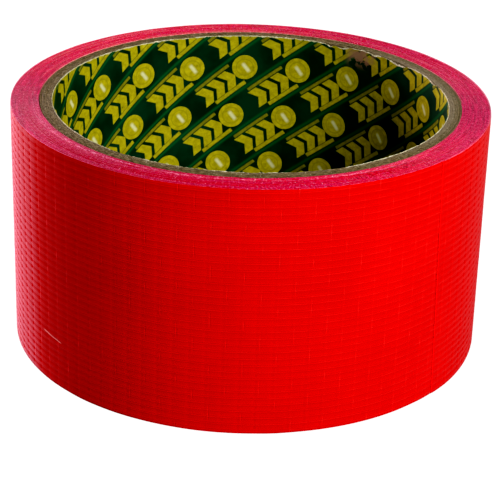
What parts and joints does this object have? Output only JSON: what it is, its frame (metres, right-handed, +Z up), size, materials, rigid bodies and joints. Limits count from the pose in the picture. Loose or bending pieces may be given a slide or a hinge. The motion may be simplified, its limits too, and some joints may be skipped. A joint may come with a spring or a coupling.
{
  "type": "duct tape roll",
  "caption": "Roll of cloth-backed adhesive tape wound on a paper core, with a loose end that peels away.",
  "frame": {"origin": "centre of the core's bore, on the flat end that the roll stands on", "axes": "+Z up along the bore; +X towards the line where the loose end leaves the roll; the loose end runs from there towards -Y"},
  "size_m": [0.0921, 0.092, 0.048],
  "materials": {
    "liner_print": null,
    "kraft": "raw grey-brown kraft paper board, matte and fibrous",
    "adhesive": "pale tacky rubber adhesive",
    "scrim_cloth": "open weave of fine off-white threads",
    "tape_film": "red coated film, satin gloss, embossed by the cloth under it"
  },
  "bodies": {
    "roll": {"core_liner": "liner_print", "core_ply_1": "kraft", "core_ply_2": "kraft", "core_ply_3": "kraft", "core_ply_4": "kraft", "core_ply_5": "kraft", "inner_turns_adhesive": "adhesive", "inner_turns_scrim": "scrim_cloth", "inner_turns_film": "tape_film", "outer_turn_adhesive": "adhesive", "outer_turn_scrim": "scrim_cloth", "outer_turn_film": "tape_film"},
    "end_root": {"end_root_adhesive": "adhesive", "end_root_scrim": "scrim_cloth", "end_root_film": "tape_film"},
    "end_bend": {"end_bend_adhesive": "adhesive", "end_bend_scrim": "scrim_cloth", "end_bend_film": "tape_film"},
    "end_flap": {"end_flap_adhesive": "adhesive", "end_flap_scrim": "scrim_cloth", "end_flap_film": "tape_film"}
  },
  "joints": [
    {"name": "peel_root", "type": "hinge", "parent": "roll", "child": "end_root", "pos_m": [0.0461, 0, 0.024], "axis": [0, 0, 1], "range_deg": [0, 40]},
    {"name": "peel_bend", "type": "hinge", "parent": "end_root", "child": "end_bend", "pos_m": [0.04593, -0.00402, 0.024], "axis": [0, 0, 1], "range_deg": [0, 40]},
    {"name": "peel_flap", "type": "hinge", "parent": "end_bend", "child": "end_flap", "pos_m": [0.0454, -0.00801, 0.024], "axis": [0, 0, 1], "range_deg": [0, 40]}
  ],
  "couplings": [
    {"joint": "peel_bend", "follows": "peel_root", "ratio": 1},
    {"joint": "peel_flap", "follows": "peel_root", "ratio": 1}
  ]
}
